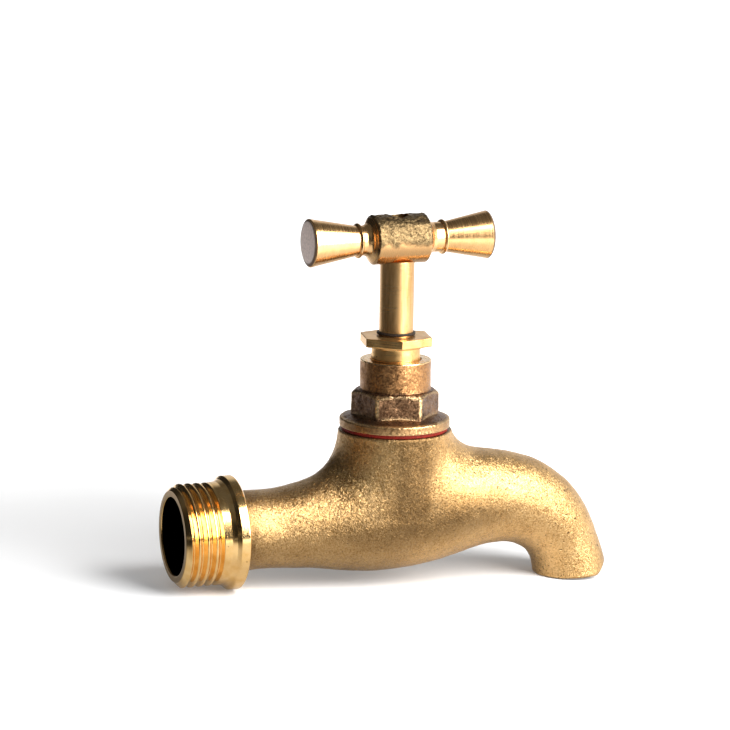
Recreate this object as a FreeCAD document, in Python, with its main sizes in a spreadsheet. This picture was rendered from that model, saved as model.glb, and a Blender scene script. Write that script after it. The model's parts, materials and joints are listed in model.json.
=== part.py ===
import FreeCAD, Part
import math
import os
import re
import Sketcher

# A brass bibcock: a cast body with a half-inch inlet thread, a screw-down valve and a T handle.
# Millimetres. The origin is the middle of the inlet collar's front face, where the tap stops in its
# fitting. +X runs along the inlet to the spout, and +Z is up, along the valve.

SIZES = {
    # Inlet end, a G 1/2 pipe thread at its major diameter
    "thread_radius": 10.4775,
    "thread_length": 10.2,
    "thread_lead_in": 1.3,
    "inlet_bore_radius": 7.9,
    "inlet_bore_chamfer": 0.3,
    "inlet_bore_depth": 11.0,
    "inlet_taper": 5.0,
    "collar_stand_out": 0.14,
    "collar_width": 2.8,
    "collar_chamfer": 0.45,
    "collar_front_chamfer": 0.8,
    # Cast body: neck, belly below the valve, then the spout down to its mouth
    "axis_offset": 37.2,
    "neck_radius": 8.05,
    "neck_length": 8.5,
    "waist_radius": 9.6,
    "waist_place": 12.0,
    "belly_radius": 11.3,
    "belly_rise": 1.4,
    "belly_place": 2.0,
    "shoulder_radius": 11.0,
    "crest_place": 20.0,
    "crest_radius": 10.15,
    "crest_rise": 3.7,
    "spout_reach": 39.5,
    "mouth_drop": 13.65,
    "mouth_radius": 7.45,
    "mouth_facet_run": 2.4,
    "mouth_facet_rise": 1.5,
    "spout_wall": 2.0,
    # Boss that takes the bonnet, with a web that flares into the neck and one into the spout
    "boss_radius": 11.4,
    "boss_top": 19.2,
    "inlet_web_start": 1.9,
    "inlet_web_reach": 14.0,
    "inlet_web_height": 9.0,
    "spout_web_start": 0.4,
    "spout_web_reach": 8.5,
    "spout_web_height": 4.9,
    # Waterway and seat
    "passage_radius": 5.7,
    "passage_end_radius": 4.0,
    "passage_drop": 3.1,
    "sump_radius": 4.8,
    "sump_depth": 6.6,
    "seat_top": 4.2,
    "seat_bore_radius": 4.5,
    "seat_lip_width": 1.4,
    "seat_lip_height": 1.2,
    "chamber_radius": 8.4,
    "chamber_top": 12.5,
    # Bonnet
    "bonnet_thread_radius": 9.0,
    "bonnet_thread_length": 6.85,
    "thread_clearance": 0.06,
    "bonnet_washer_thickness": 0.75,
    "bonnet_washer_set_back": 0.28,
    "bonnet_washer_clearance": 0.2,
    "flange_set_back": 0.2,
    "flange_rim": 1.7,
    "flange_cone": 0.95,
    "bonnet_hex_across": 15.76,
    "bonnet_hex_height": 4.9,
    "bonnet_hex_chamfer": 0.7,
    "barrel_radius": 7.25,
    "barrel_length": 6.23,
    "barrel_chamfer": 0.3,
    # Stuffing box
    "packing_box_depth": 4.13,
    "packing_radius": 5.0,
    "packing_ring_thickness": 0.9,
    "packing_washer_thickness": 0.4,
    "gland_hex_radius": 7.71,
    "gland_hex_height": 1.86,
    "gland_hex_chamfer": 0.1,
    "gland_stand_off": 2.98,
    # Spindle
    "stem_radius": 3.49,
    "stem_clearance": 0.06,
    "screw_radius": 5.0,
    "screw_length": 10.72,
    "screw_chamfer": 0.5,
    "lift": 4.0,
    "lift_stop_gap": 0.4,
    "socket_depth": 7.5,
    "tenon_radius": 2.0,
    "tenon_clearance": 0.02,
    "tenon_chamfer": 0.3,
    "dust_ring_radius": 3.98,
    "dust_ring_thickness": 0.6,
    "dust_ring_gap": 0.2,
    # T handle
    "handle_height": 58.29,
    "hub_radius": 5.02,
    "hub_half_length": 6.1,
    "hub_chamfer": 0.6,
    "spotface_depth": 0.65,
    "spotface_clearance": 0.35,
    "tenon_recess": 1.0,
    "arm_neck_radius": 3.05,
    "bead_place": 9.1,
    "bead_radius": 3.62,
    "bead_half_width": 0.42,
    "cone_end": 19.2,
    "cone_end_radius": 4.78,
    "rim_chamfer": 0.3,
    "end_dome": 0.7,
    # Jumper valve
    "seat_gap": 0.03,
    "tap_washer_radius": 6.6,
    "tap_washer_thickness": 3.0,
    "plate_radius": 6.8,
    "plate_thickness": 1.6,
    "plate_gap": 0.05,
    "jumper_stem_radius": 2.2,
    "jumper_stem_length": 7.0,
    "jumper_clearance": 0.1,
    "stud_radius": 1.6,
    "stud_clearance": 0.05,
    "stud_end": 0.5,
    "washer_nut_across": 5.5,
    "washer_nut_height": 2.4,
}

# Heights that several pieces share, and the round faces that stand near flush with the boss
PLACES = {
    "collar_radius": "boss_radius + collar_stand_out",
    "flange_radius": "boss_radius - flange_set_back",
    "bonnet_washer_radius": "boss_radius - flange_set_back - bonnet_washer_set_back",
    "flange_base": "boss_top + bonnet_washer_thickness",
    "bonnet_base": "boss_top + bonnet_washer_thickness - bonnet_thread_length",
    "barrel_top": "boss_top + bonnet_washer_thickness + flange_rim + flange_cone"
                  " + bonnet_hex_height + barrel_length",
    "jumper_base": "seat_top + seat_gap + tap_washer_thickness",
    "spindle_base": "seat_top + seat_gap + tap_washer_thickness + plate_thickness + plate_gap",
}

# The corners of the two hexagons as they stand in the tap, in degrees from +X
BONNET_HEX_TURN = -16.0
GLAND_HEX_TURN = 16.6

doc = FreeCAD.newDocument("Bibcock")
sheet = doc.addObject("Spreadsheet::Sheet", "Sizes")
subparts = []


def fill_sheet():
    for row, (name, size) in enumerate(SIZES.items(), start=1):
        sheet.set("A%d" % row, name)
        sheet.set("B%d" % row, str(size))
        sheet.setAlias("B%d" % row, name)
    doc.recompute()


def bound(text):
    for name, formula in PLACES.items():
        text = re.sub(r"\b%s\b" % name, "(%s)" % formula, text)
    return re.sub(r"[a-z]\w*", lambda word: "Sizes." + word[0] if word[0] in SIZES else word[0], text)


def value(text):
    return float(sheet.evalExpression(bound(text)))


def bind(thing, **sizes):
    for name, text in sizes.items():
        thing.setExpression(name.replace("__", "."), bound(text))


def place(thing, x="0", z="0", turn=None):
    thing.setExpression("Placement.Base.x", bound(x))
    thing.setExpression("Placement.Base.z", bound(z))
    if turn is not None:
        thing.Placement.Rotation = FreeCAD.Rotation(FreeCAD.Vector(0, 0, 1), turn)


def subpart(thing, label):
    thing.Label = label
    subparts.append(thing)
    return thing


def new_body(label, height):
    body = doc.addObject("PartDesign::Body", label)
    place(body, "axis_offset", height)
    return subpart(body, label)


def sketch_on(body, name, role, height=None):
    sketch = body.newObject("Sketcher::SketchObject", name)
    plane = [feature for feature in body.Origin.OriginFeatures if feature.Role == role][0]
    sketch.AttachmentSupport = (plane, [""])
    sketch.MapMode = "FlatFace"
    if height:
        sketch.setExpression("AttachmentOffset.Base.z", bound(height))
    return sketch


def fix_point(sketch, geometry, end, across, up):
    for kind, text, axis in (("DistanceX", across, -2), ("DistanceY", up, -1)):
        size = value(text)
        if abs(size) < 1e-9:
            sketch.addConstraint(Sketcher.Constraint("PointOnObject", geometry, end, axis))
        else:
            index = sketch.addConstraint(Sketcher.Constraint(kind, -1, 1, geometry, end, size))
            sketch.setExpression("Constraints[%d]" % index, bound(text))


def outline(sketch, points):
    """Draws a closed outline. Each point is two formulas, and a third item is the middle of an arc."""
    spots = [FreeCAD.Vector(value(point[0]), value(point[1]), 0) for point in points]
    ends = []
    for number, point in enumerate(points):
        start, stop = spots[number], spots[(number + 1) % len(points)]
        if len(point) == 2:
            edge = sketch.addGeometry(Part.LineSegment(start, stop), False)
            ends.append((edge, 1, 2))
            continue
        middle = FreeCAD.Vector(value(point[2][0]), value(point[2][1]), 0)
        turns_left = (middle - start).cross(stop - middle).z > 0
        if turns_left:
            edge = sketch.addGeometry(Part.Arc(start, middle, stop), False)
            ends.append((edge, 1, 2))
        else:
            edge = sketch.addGeometry(Part.Arc(stop, middle, start), False)
            ends.append((edge, 2, 1))
        mark = sketch.addGeometry(Part.Point(middle), True)
        fix_point(sketch, mark, 1, *point[2])
        sketch.addConstraint(Sketcher.Constraint("PointOnObject", mark, 1, edge))
    for number, (edge, first, last) in enumerate(ends):
        following, its_first, its_last = ends[(number + 1) % len(ends)]
        sketch.addConstraint(Sketcher.Constraint("Coincident", edge, last, following, its_first))
        fix_point(sketch, edge, first, points[number][0], points[number][1])
    doc.recompute()
    return sketch


def hexagon(sketch, radius, turn=0.0):
    corners = ["%s * cos(%g)" % (radius, turn + 60 * side) for side in range(6)]
    heights = ["%s * sin(%g)" % (radius, turn + 60 * side) for side in range(6)]
    return outline(sketch, list(zip(corners, heights)))


def circle(sketch, radius):
    edge = sketch.addGeometry(Part.Circle(FreeCAD.Vector(), FreeCAD.Vector(0, 0, 1), value(radius)), False)
    sketch.addConstraint(Sketcher.Constraint("Coincident", edge, 3, -1, 1))
    index = sketch.addConstraint(Sketcher.Constraint("Radius", edge, value(radius)))
    sketch.setExpression("Constraints[%d]" % index, bound(radius))
    return sketch


def turned(body, name, points, axis="V_Axis", kind="Revolution"):
    sketch = outline(sketch_on(body, name + "_profile", "XZ_Plane"), points)
    feature = body.newObject("PartDesign::" + kind, name)
    feature.Profile = sketch
    feature.ReferenceAxis = (sketch, [axis])
    feature.Angle = 360
    doc.recompute()
    return feature


def padded(body, name, sketch, length):
    feature = body.newObject("PartDesign::Pad", name)
    feature.Profile = sketch
    bind(feature, Length=length)
    doc.recompute()
    return feature


def pocketed(body, name, sketch, length, upward=True):
    feature = body.newObject("PartDesign::Pocket", name)
    feature.Profile = sketch
    feature.Reversed = upward
    bind(feature, Length=length)
    doc.recompute()
    return feature


def cylinder(name, radius, height, x="0", z="0"):
    solid = doc.addObject("Part::Cylinder", name)
    bind(solid, Radius=radius, Height=height)
    place(solid, x, z)
    return solid


def fused(name, solids):
    union = doc.addObject("Part::MultiFuse", name)
    union.Shapes = solids
    return union


def cut(name, base, tool):
    difference = doc.addObject("Part::Cut", name)
    difference.Base = base
    difference.Tool = tool
    return difference


def lofted(name, sections):
    solid = doc.addObject("Part::Loft", name)
    solid.Sections = sections
    solid.Solid = True
    solid.Ruled = False
    solid.MaxDegree = 3
    return solid


def ring_section(name, radius, x, z, lean="90"):
    """A circle across the run. Its normal is +X at a lean of 90 and -Z at a lean of 180."""
    section = doc.addObject("Part::Circle", name)
    section.Placement.Rotation = FreeCAD.Rotation(FreeCAD.Vector(0, 1, 0), 90)
    bind(section, Radius=radius, Placement__Rotation__Angle=lean)
    place(section, "axis_offset + " + x, z)
    return section


def run_sections(name, inset="0", overrun="0"):
    """Sections of the spout from its crest to its mouth, on a quarter of an ellipse."""
    sections = []
    for step, angle in enumerate((0, 25, 48, 70, 90)):
        x = "crest_place + (spout_reach - crest_place) * sin(%d)" % angle
        z = "(crest_rise + mouth_drop) * cos(%d) - mouth_drop" % angle
        radius = "crest_radius - (crest_radius - mouth_radius) * sin(%d) - %s" % (angle, inset)
        lean = "90 deg + atan((crest_rise + mouth_drop) / (spout_reach - crest_place) * tan(%d))" % angle
        if angle == 90:
            lean = "180"
            z = "-mouth_drop - " + overrun
        sections.append(ring_section("%s_%d" % (name, step), radius, x, z, lean))
    return sections


def web(name, start, reach, height, side, angles, tuck):
    """A flare between the boss and the run, of upright ellipses that grow towards one side."""
    sections = []
    core = "boss_radius * 0.97"
    for step, angle in enumerate(angles):
        grown = "(%s * (1 - cos(%d)))" % (reach, angle)
        section = doc.addObject("Part::Ellipse", "%s_%d" % (name, step))
        narrowing = 1 - 0.4 * (1 - math.cos(math.radians(angle)))
        bind(section, MajorRadius="%s + %s / 2" % (core, grown), MinorRadius="%s * %.4f" % (core, narrowing))
        place(section, "axis_offset + %d * %s / 2" % (side, grown), "%s - %s * sin(%d)" % (start, height, angle))
        sections.append(section)
    last = doc.addObject("Part::Ellipse", name + "_tuck")
    bind(last, MajorRadius="%s + %s * %g / 2" % (core, reach, tuck), MinorRadius="%s * 0.5" % core)
    place(last, "axis_offset + %d * %s * %g / 2" % (side, reach, tuck), "%s - %s * 1.35" % (start, height))
    return lofted(name, sections + [last])


def make_inlet_end():
    """The threaded end and its collar, turned about the inlet axis."""
    body = doc.addObject("PartDesign::Body", "inlet_end")
    turned(body, "inlet_turning", [
        ("-thread_length", "0"),
        ("-thread_length", "thread_radius - thread_lead_in"),
        ("-thread_length + thread_lead_in", "thread_radius"),
        ("0", "thread_radius"),
        ("0", "collar_radius - collar_front_chamfer"),
        ("collar_front_chamfer", "collar_radius"),
        ("collar_width - collar_chamfer", "collar_radius"),
        ("collar_width", "collar_radius - collar_chamfer"),
        ("collar_width", "0"),
    ], axis="H_Axis")
    return body


def make_run():
    """The cast run from the collar, through the belly, to the mouth of the spout."""
    sections = [
        ring_section("run_collar", "neck_radius", "-axis_offset + collar_width / 2", "0"),
        ring_section("run_neck", "neck_radius", "-axis_offset + collar_width + neck_length", "0"),
        ring_section("run_waist", "waist_radius", "-waist_place", "belly_rise * 0.32"),
        ring_section("run_belly", "belly_radius", "belly_place", "belly_rise"),
        ring_section("run_shoulder", "shoulder_radius", "(belly_place + crest_place) * 0.55",
                     "(belly_rise + crest_rise) / 2"),
    ]
    return lofted("run", sections + run_sections("run_spout"))


def make_waterway():
    """Everything that is hollow in the body, from the inlet through the seat to the mouth."""
    inlet = doc.addObject("PartDesign::Body", "inlet_bore")
    turned(inlet, "inlet_boring", [
        ("-thread_length - 1", "0"),
        ("-thread_length - 1", "inlet_bore_radius + inlet_bore_chamfer + 1"),
        ("-thread_length + inlet_bore_chamfer", "inlet_bore_radius"),
        ("inlet_bore_depth - thread_length", "inlet_bore_radius"),
        ("inlet_bore_depth - thread_length + inlet_taper", "passage_radius - 0.8"),
        ("inlet_bore_depth - thread_length + inlet_taper", "0"),
    ], axis="H_Axis")
    start = "-axis_offset + inlet_bore_depth - thread_length"
    passage = lofted("passage", [
        ring_section("passage_start", "passage_radius", start, "0"),
        ring_section("passage_middle", "passage_radius * 0.9", "-axis_offset * 0.5", "-passage_drop * 0.3"),
        ring_section("passage_dip", "passage_end_radius", "-sump_radius * 1.8", "-passage_drop"),
        ring_section("passage_end", "passage_end_radius", "0", "-passage_drop"),
    ])
    sump = cylinder("sump", "sump_radius", "sump_depth + seat_top - seat_lip_height * 2",
                    "axis_offset", "-sump_depth")
    seat_bore = cylinder("seat_bore", "seat_bore_radius", "seat_top + 1", "axis_offset")
    chamber = cylinder("chamber", "chamber_radius", "chamber_top - seat_top + 1", "axis_offset", "seat_top")
    moat_outside = cylinder("moat_outside", "chamber_radius", "seat_lip_height + 0.5", "axis_offset",
                            "seat_top - seat_lip_height")
    moat_inside = cylinder("moat_inside", "seat_bore_radius + seat_lip_width", "seat_lip_height + 2",
                           "axis_offset", "seat_top - seat_lip_height - 0.5")
    moat = cut("moat", moat_outside, moat_inside)
    threaded = cylinder("threaded_bore", "bonnet_thread_radius + thread_clearance",
                        "boss_top - chamber_top + 1", "axis_offset", "chamber_top")
    outlet = lofted("outlet", [
        ring_section("outlet_start", "crest_radius * 0.55", "0", "seat_top + crest_radius * 0.6"),
        ring_section("outlet_middle", "crest_radius * 0.6", "crest_place / 2", "seat_top + crest_radius * 0.25"),
    ] + run_sections("outlet_spout", "spout_wall", "1"))
    return fused("waterway", [inlet, passage, sump, seat_bore, chamber, moat, threaded, outlet])


def make_mouth_grind():
    """The wedge that grinding took off the outer edge of the mouth."""
    body = doc.addObject("PartDesign::Body", "mouth_grind")
    place(body, "axis_offset + spout_reach + mouth_radius", "-mouth_drop")
    sketch = outline(sketch_on(body, "grind_profile", "XZ_Plane", "-mouth_radius - 1"), [
        ("-mouth_facet_run", "0"),
        ("-mouth_facet_run", "-1"),
        ("mouth_facet_run", "-1"),
        ("mouth_facet_run", "2 * mouth_facet_rise"),
    ])
    padded(body, "grind_wedge", sketch, "2 * mouth_radius + 2")
    return body


def make_body():
    boss = cylinder("boss", "boss_radius", "boss_top - belly_rise", "axis_offset", "belly_rise")
    inlet_web = web("inlet_web", "(boss_top - inlet_web_start)", "inlet_web_reach", "inlet_web_height",
                    -1, (0, 20, 40, 60, 75, 88), 0.35)
    spout_web = web("spout_web", "(boss_top - spout_web_start)", "spout_web_reach", "spout_web_height",
                    1, (0, 25, 50, 75), 0.3)
    casting = fused("casting", [make_inlet_end(), make_run(), boss, inlet_web, spout_web])
    bored = cut("bored_casting", casting, make_waterway())
    subpart(cut("tap_body", bored, make_mouth_grind()), "body")


def make_bonnet_washer():
    body = new_body("bonnet_washer", "boss_top")
    turned(body, "bonnet_washer_ring", [
        ("bonnet_thread_radius + bonnet_washer_clearance", "0"),
        ("bonnet_washer_radius", "0"),
        ("bonnet_washer_radius", "bonnet_washer_thickness"),
        ("bonnet_thread_radius + bonnet_washer_clearance", "bonnet_washer_thickness"),
    ])


def make_bonnet():
    body = new_body("bonnet", "bonnet_base")
    hex_radius = "(bonnet_hex_across / sqrt(3))"
    hex_base = "(bonnet_thread_length + flange_rim)"
    hex_top = "(%s + flange_cone + bonnet_hex_height)" % hex_base
    top = "(%s + barrel_length)" % hex_top
    bore = "(screw_radius + thread_clearance)"
    stop = "(spindle_base - bonnet_base + screw_length + lift + lift_stop_gap)"
    throat = "(stem_radius + stem_clearance)"
    box = "(packing_radius + thread_clearance)"
    turned(body, "bonnet_turning", [
        (bore, "0"),
        ("bonnet_thread_radius - 0.4", "0"),
        ("bonnet_thread_radius", "0.4"),
        ("bonnet_thread_radius", "bonnet_thread_length"),
        ("flange_radius - 0.2", "bonnet_thread_length"),
        ("flange_radius", "bonnet_thread_length + 0.2"),
        ("flange_radius", hex_base + " - 0.3"),
        ("flange_radius - 0.3", hex_base),
        ("bonnet_hex_across / 2", hex_base + " + flange_cone"),
        ("barrel_radius", hex_base + " + flange_cone"),
        ("barrel_radius", top + " - barrel_chamfer"),
        ("barrel_radius - barrel_chamfer", top),
        (box + " + barrel_chamfer", top),
        (box, top + " - barrel_chamfer"),
        (box, top + " - packing_box_depth"),
        (throat, top + " - packing_box_depth"),
        (throat, stop),
        (bore, stop),
    ])
    sketch = hexagon(sketch_on(body, "bonnet_hex_sketch", "XY_Plane", hex_base), hex_radius, BONNET_HEX_TURN)
    circle(sketch, "barrel_radius - 0.5")
    padded(body, "bonnet_hex", sketch, "flange_cone + bonnet_hex_height")
    turned(body, "bonnet_hex_chamfer", [
        ("bonnet_hex_across / 2", hex_top),
        (hex_radius + " + 1", hex_top),
        (hex_radius + " + 1", hex_top + " - bonnet_hex_chamfer - 0.7"),
    ], kind="Groove")


def make_packing(label, height, thickness):
    body = new_body(label, height)
    turned(body, label + "_ring", [
        ("stem_radius + stem_clearance", "0"),
        ("packing_radius", "0"),
        ("packing_radius", thickness),
        ("stem_radius + stem_clearance", thickness),
    ])


def make_stuffing_box():
    box_base = "barrel_top - packing_box_depth"
    make_packing("packing_ring_lower", box_base, "packing_ring_thickness")
    make_packing("packing_ring_upper", box_base + " + packing_ring_thickness", "packing_ring_thickness")
    make_packing("packing_washer", box_base + " + 2 * packing_ring_thickness", "packing_washer_thickness")


def make_gland_nut():
    base = "(barrel_top - packing_box_depth + 2 * packing_ring_thickness + packing_washer_thickness)"
    neck = "(barrel_top - %s + gland_stand_off)" % base
    body = new_body("gland_nut", base)
    turned(body, "gland_neck", [
        ("stem_radius + stem_clearance", "0"),
        ("packing_radius", "0"),
        ("packing_radius", neck + " + gland_hex_height / 2"),
        ("stem_radius + stem_clearance", neck + " + gland_hex_height / 2"),
    ])
    sketch = hexagon(sketch_on(body, "gland_hex_sketch", "XY_Plane", neck), "gland_hex_radius", GLAND_HEX_TURN)
    circle(sketch, "stem_radius + stem_clearance")
    padded(body, "gland_hex", sketch, "gland_hex_height")
    for name, edge, inward in (("top", neck + " + gland_hex_height", "-"), ("base", neck, "+")):
        turned(body, "gland_hex_chamfer_" + name, [
            ("gland_hex_radius - gland_hex_chamfer * 3", edge),
            ("gland_hex_radius + 1", edge),
            ("gland_hex_radius + 1", edge + inward + " (gland_hex_chamfer + 0.4)"),
        ], kind="Groove")


def make_spindle():
    body = new_body("spindle", "spindle_base")
    shoulder = "(handle_height - hub_radius + spotface_depth - spindle_base)"
    tip = "(handle_height + hub_radius - tenon_recess - spindle_base)"
    socket = "(jumper_stem_radius + jumper_clearance)"
    turned(body, "spindle_turning", [
        ("0", "socket_depth"),
        (socket, "socket_depth"),
        (socket, "0"),
        ("screw_radius - screw_chamfer", "0"),
        ("screw_radius", "screw_chamfer"),
        ("screw_radius", "screw_length - screw_chamfer"),
        ("screw_radius - screw_chamfer", "screw_length"),
        ("stem_radius", "screw_length"),
        ("stem_radius", shoulder),
        ("tenon_radius", shoulder),
        ("tenon_radius", tip + " - tenon_chamfer"),
        ("tenon_radius - tenon_chamfer", tip),
        ("0", tip),
    ])


def make_dust_ring():
    middle = "dust_ring_thickness / 2"
    body = new_body("dust_ring", "barrel_top + gland_stand_off + gland_hex_height + dust_ring_gap")
    turned(body, "dust_ring_turning", [
        ("stem_radius", "0"),
        ("dust_ring_radius - 0.2", "0", ("dust_ring_radius", middle)),
        ("dust_ring_radius - 0.2", "dust_ring_thickness"),
        ("stem_radius", "dust_ring_thickness"),
    ])


def make_handle():
    body = new_body("handle", "handle_height")
    bead_start = "bead_place - bead_half_width"
    bead_end = "bead_place + bead_half_width"
    bead_side = "bead_radius - bead_half_width"
    middle_x = "(hub_half_length + bead_place - bead_half_width) / 2 + 0.1"
    middle_r = "arm_neck_radius + (hub_radius - hub_chamfer - arm_neck_radius) * 0.26"
    arm = turned(body, "arm_turning", [
        ("0", "0"),
        ("0", "hub_radius"),
        ("hub_half_length - hub_chamfer", "hub_radius"),
        ("hub_half_length", "hub_radius - hub_chamfer", (middle_x, middle_r)),
        (bead_start, "arm_neck_radius"),
        (bead_start, bead_side, ("bead_place", "bead_radius")),
        (bead_end, bead_side),
        (bead_end, "arm_neck_radius"),
        ("cone_end - rim_chamfer", "cone_end_radius"),
        ("cone_end", "cone_end_radius - rim_chamfer",
         ("cone_end + end_dome * 0.75", "cone_end_radius * 0.48")),
        ("cone_end + end_dome", "0"),
    ], axis="H_Axis")
    both = body.newObject("PartDesign::Mirrored", "both_arms")
    both.Originals = [arm]
    both.MirrorPlane = ([f for f in body.Origin.OriginFeatures if f.Role == "YZ_Plane"][0], [""])
    body.Tip = both
    doc.recompute()
    spotface = circle(sketch_on(body, "spotface_circle", "XY_Plane", "-hub_radius - 1"),
                      "stem_radius + spotface_clearance")
    pocketed(body, "spotface", spotface, "spotface_depth + 1")
    hole = circle(sketch_on(body, "tenon_hole_circle", "XY_Plane", "-hub_radius - 1"),
                  "tenon_radius + tenon_clearance")
    pocketed(body, "tenon_hole", hole, "2 * hub_radius + 2")


def make_jumper():
    body = new_body("jumper", "jumper_base")
    end = "-(tap_washer_thickness + washer_nut_height + stud_end)"
    turned(body, "jumper_turning", [
        ("0", end),
        ("stud_radius", end),
        ("stud_radius", "0"),
        ("plate_radius - 0.3", "0"),
        ("plate_radius", "0.3"),
        ("plate_radius", "plate_thickness - 0.3"),
        ("plate_radius - 0.3", "plate_thickness"),
        ("jumper_stem_radius", "plate_thickness"),
        ("jumper_stem_radius", "plate_thickness + jumper_stem_length"),
        ("0", "plate_thickness + jumper_stem_length"),
    ])


def make_tap_washer():
    body = new_body("tap_washer", "seat_top + seat_gap")
    turned(body, "tap_washer_turning", [
        ("stud_radius + stud_clearance", "0"),
        ("tap_washer_radius - 0.4", "0"),
        ("tap_washer_radius", "0.4"),
        ("tap_washer_radius", "tap_washer_thickness"),
        ("stud_radius + stud_clearance", "tap_washer_thickness"),
    ])


def make_washer_nut():
    body = new_body("washer_nut", "seat_top + seat_gap - washer_nut_height")
    sketch = hexagon(sketch_on(body, "washer_nut_sketch", "XY_Plane"), "(washer_nut_across / sqrt(3))")
    circle(sketch, "stud_radius + stud_clearance")
    padded(body, "washer_nut_hex", sketch, "washer_nut_height")


def check_and_write():
    doc.recompute()
    for thing in doc.Objects:
        if "Invalid" in thing.State or "Error" in thing.State:
            raise RuntimeError("%s did not build: %s" % (thing.Name, thing.State))
    os.makedirs("parts", exist_ok=True)
    for thing in subparts:
        shape = thing.Shape
        if shape.isNull() or not shape.isValid() or len(shape.Solids) != 1:
            raise RuntimeError("%s has no single sound solid" % thing.Label)
        print("%-20s %9.2f mm3  %s" % (thing.Label, shape.Volume, shape.BoundBox))
    for thing in subparts:
        thing.Shape.exportStep("parts/%s.step" % thing.Label)


fill_sheet()
make_body()
make_bonnet_washer()
make_bonnet()
make_stuffing_box()
make_gland_nut()
make_spindle()
make_dust_ring()
make_handle()
make_jumper()
make_tap_washer()
make_washer_nut()
check_and_write()
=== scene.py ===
import bpy
import bmesh
import json
import math
import numpy as np
from mathutils import Matrix, Vector, noise

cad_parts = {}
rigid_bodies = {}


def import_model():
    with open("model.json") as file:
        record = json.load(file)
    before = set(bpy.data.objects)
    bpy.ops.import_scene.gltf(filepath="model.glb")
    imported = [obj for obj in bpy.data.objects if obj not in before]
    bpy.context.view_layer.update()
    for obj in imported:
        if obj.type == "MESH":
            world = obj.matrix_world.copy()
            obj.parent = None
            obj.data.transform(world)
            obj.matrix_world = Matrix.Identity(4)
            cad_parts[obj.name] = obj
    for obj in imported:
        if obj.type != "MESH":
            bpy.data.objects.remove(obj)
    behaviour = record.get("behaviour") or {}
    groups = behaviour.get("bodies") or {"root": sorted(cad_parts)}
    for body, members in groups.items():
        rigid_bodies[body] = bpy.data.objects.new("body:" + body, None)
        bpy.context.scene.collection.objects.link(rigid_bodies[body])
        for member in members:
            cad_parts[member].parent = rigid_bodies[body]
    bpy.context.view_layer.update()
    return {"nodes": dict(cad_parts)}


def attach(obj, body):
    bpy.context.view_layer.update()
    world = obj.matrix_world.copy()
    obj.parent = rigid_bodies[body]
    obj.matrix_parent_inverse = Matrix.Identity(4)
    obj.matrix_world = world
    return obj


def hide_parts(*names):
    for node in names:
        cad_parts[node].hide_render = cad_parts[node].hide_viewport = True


# A brass bibcock. Sizes are in millimetres in the part's own frame: the origin is the middle of the inlet
# collar's front face, +X runs to the spout and +Z up the valve. Meshes are made in metres from them.

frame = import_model()
valveAxis = 37.2
noise.seed_set(4)      # the same unevenness in each run
print("frame loaded:", len(frame["nodes"]), "nodes")


# meshes

def addObject(name, data):
    item = bpy.data.objects.new(name, data)
    bpy.context.scene.collection.objects.link(item)
    return item


def meshObject(name, points, faces, material=None):
    mesh = bpy.data.meshes.new(name)
    mesh.from_pydata((np.asarray(points) * 0.001).tolist(), [], faces)
    mesh.validate()
    if material:
        mesh.materials.append(material)
    return addObject(name, mesh)


def faceOutwards(mesh):
    work = bmesh.new()
    work.from_mesh(mesh)
    bmesh.ops.recalc_face_normals(work, faces=work.faces)
    work.to_mesh(mesh)
    work.free()


def finishPiece(piece, body, nodes, sharpAngle=None):
    faceOutwards(piece.data)
    piece.data.polygons.foreach_set("use_smooth", [True] * len(piece.data.polygons))
    if sharpAngle:
        piece.data.set_sharp_from_angle(angle=math.radians(sharpAngle))
    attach(piece, body)
    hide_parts(*nodes)
    return piece


def evaluated(piece):
    # the result of the modifiers as a plain mesh, and the modifiers gone
    graph = bpy.context.evaluated_depsgraph_get()
    mesh = bpy.data.meshes.new_from_object(piece.evaluated_get(graph))
    piece.modifiers.clear()
    piece.data = mesh
    return piece


def writeOnPoints(piece, name, values):
    # a value at each point, for a material to read
    piece.data.attributes.new(name, "FLOAT", "POINT").data.foreach_set("value", values.astype(np.float32))


def unevenness(points, size, length):
    # a gentle shift of each point, for hand finish and casting
    shift = [noise.noise_vector(Vector(p) / length + Vector((7.3, 1.9, 4.1))) for p in points.tolist()]
    return np.array([tuple(s) for s in shift]) * size


def smoothed(value, low, high):
    t = np.clip((value - low) / (high - low), 0, 1)
    return t * t * (3 - 2 * t)


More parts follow.
